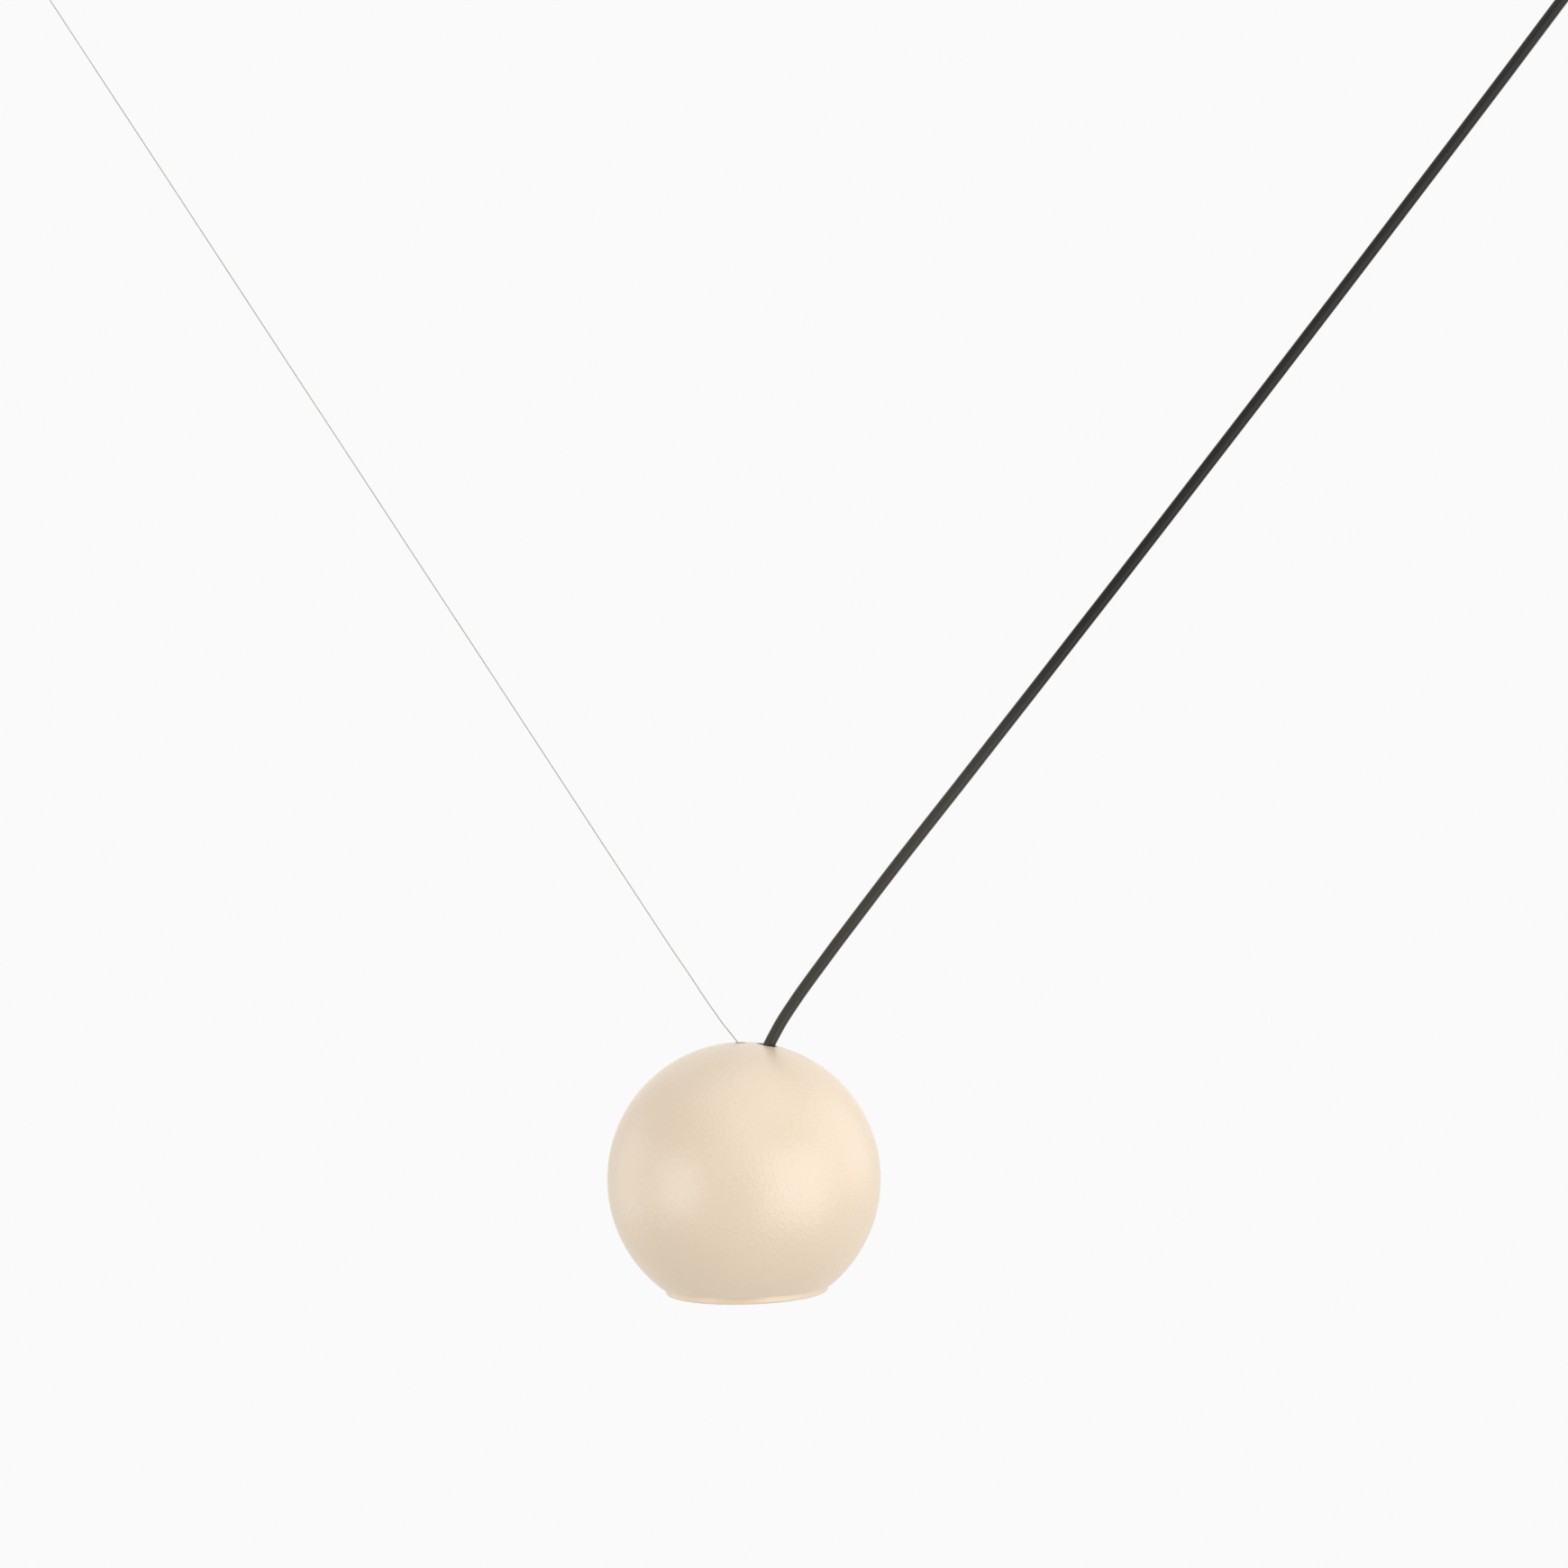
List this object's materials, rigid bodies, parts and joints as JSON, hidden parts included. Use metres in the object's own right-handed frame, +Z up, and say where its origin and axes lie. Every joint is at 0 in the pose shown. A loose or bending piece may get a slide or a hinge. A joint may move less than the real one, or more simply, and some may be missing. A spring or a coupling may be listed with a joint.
{
  "type": "pendant lamp",
  "caption": "Round ball pendant lamp hung in a V from a power cable with a ceiling rose and a steel wire with a ceiling gripper, with a twist-off light ring underneath.",
  "frame": {"origin": "middle of the rose bracket on the ceiling plane, between its two ceiling screws", "axes": "+Z up out of the rose into the ceiling, +X from the wire anchor to the rose, +Y across the plane of the cable and wire, away from the picture's viewer"},
  "size_m": [0.903, 0.14, 0.734],
  "materials": {
    "cream_powder_coat": "satin powder coat",
    "zinc_plated_steel": "bright zinc plate",
    "nickel_plated_brass": "satin nickel plate",
    "stainless_wire": "drawn stainless steel",
    "brass": "turned",
    "black_pvc": "extruded, satin",
    "white_nylon": "moulded",
    "blue_pvc": "extruded",
    "red_pvc": "extruded",
    "cast_aluminium": "machined",
    "board_aluminium": "white solder mask",
    "phosphor": "cast silicone with phosphor",
    "bright_aluminium": "bright anodised",
    "opal_acrylic": "opal, satin",
    "grey_silicone": "moulded"
  },
  "bodies": {
    "ceiling": {"rose_bracket": "zinc_plated_steel", "rose_cup": "cream_powder_coat", "cup_screws": "zinc_plated_steel", "swivel_seat": "cream_powder_coat", "seat_nut": "zinc_plated_steel", "supply_terminal": "white_nylon", "supply_cores": "blue_pvc", "anchor_base": "nickel_plated_brass", "anchor_cap": "nickel_plated_brass"},
    "suspension": {"swivel_ball": "cream_powder_coat", "grub_screw": "zinc_plated_steel", "power_cable": "black_pvc", "gripper_head": "nickel_plated_brass", "gripper_barrel": "nickel_plated_brass", "suspension_wire": "stainless_wire", "wire_nipple": "brass", "gripper_spring": "stainless_wire"},
    "plunger": {"gripper_plunger": "nickel_plated_brass", "clamp_balls": "stainless_wire"},
    "head": {"ball_shell": "cream_powder_coat", "crown_boss": "cast_aluminium", "wire_seat": "brass", "cord_grip": "white_nylon", "cord_grip_screws": "zinc_plated_steel", "cable_tail": "black_pvc", "mains_cores": "blue_pvc", "tie_rods": "zinc_plated_steel", "gear_tray": "zinc_plated_steel", "tray_nuts": "zinc_plated_steel", "tray_screws": "zinc_plated_steel", "led_driver": "white_nylon", "head_terminal": "white_nylon", "driver_leads": "red_pvc", "led_leads": "red_pvc", "heat_sink": "cast_aluminium", "heat_sink_screws": "zinc_plated_steel", "led_board": "board_aluminium", "led_chip": "phosphor", "led_holder": "white_nylon", "holder_screws": "zinc_plated_steel", "reflector": "bright_aluminium", "collar": "white_nylon", "collar_screws": "zinc_plated_steel"},
    "bezel": {"bezel_ring": "cream_powder_coat", "diffuser": "opal_acrylic", "gasket": "grey_silicone"}
  },
  "joints": [
    {"name": "swing", "type": "hinge", "parent": "ceiling", "child": "suspension", "pos_m": [0, 0, -0.026], "axis": [1, 0, 0], "range_deg": [-30, 30], "deforming": ["supply_cores"]},
    {"name": "release", "type": "slide", "parent": "suspension", "child": "plunger", "axis": [-0.5225, 0, 0.8526], "range_m": [0, 0.002], "stiffness_N_per_m": 400, "springref_m": -0.003, "deforming": ["gripper_spring"]},
    {"name": "rock", "type": "hinge", "parent": "suspension", "child": "head", "pos_m": [-0.4774, 0, -0.611], "axis": [1, 0, 0], "range_deg": [-12, 12]},
    {"name": "ring_twist", "type": "hinge", "parent": "head", "child": "bezel", "pos_m": [-0.48, 0, -0.73], "axis": [0, 0, 1], "range_deg": [0, 20]}
  ]
}
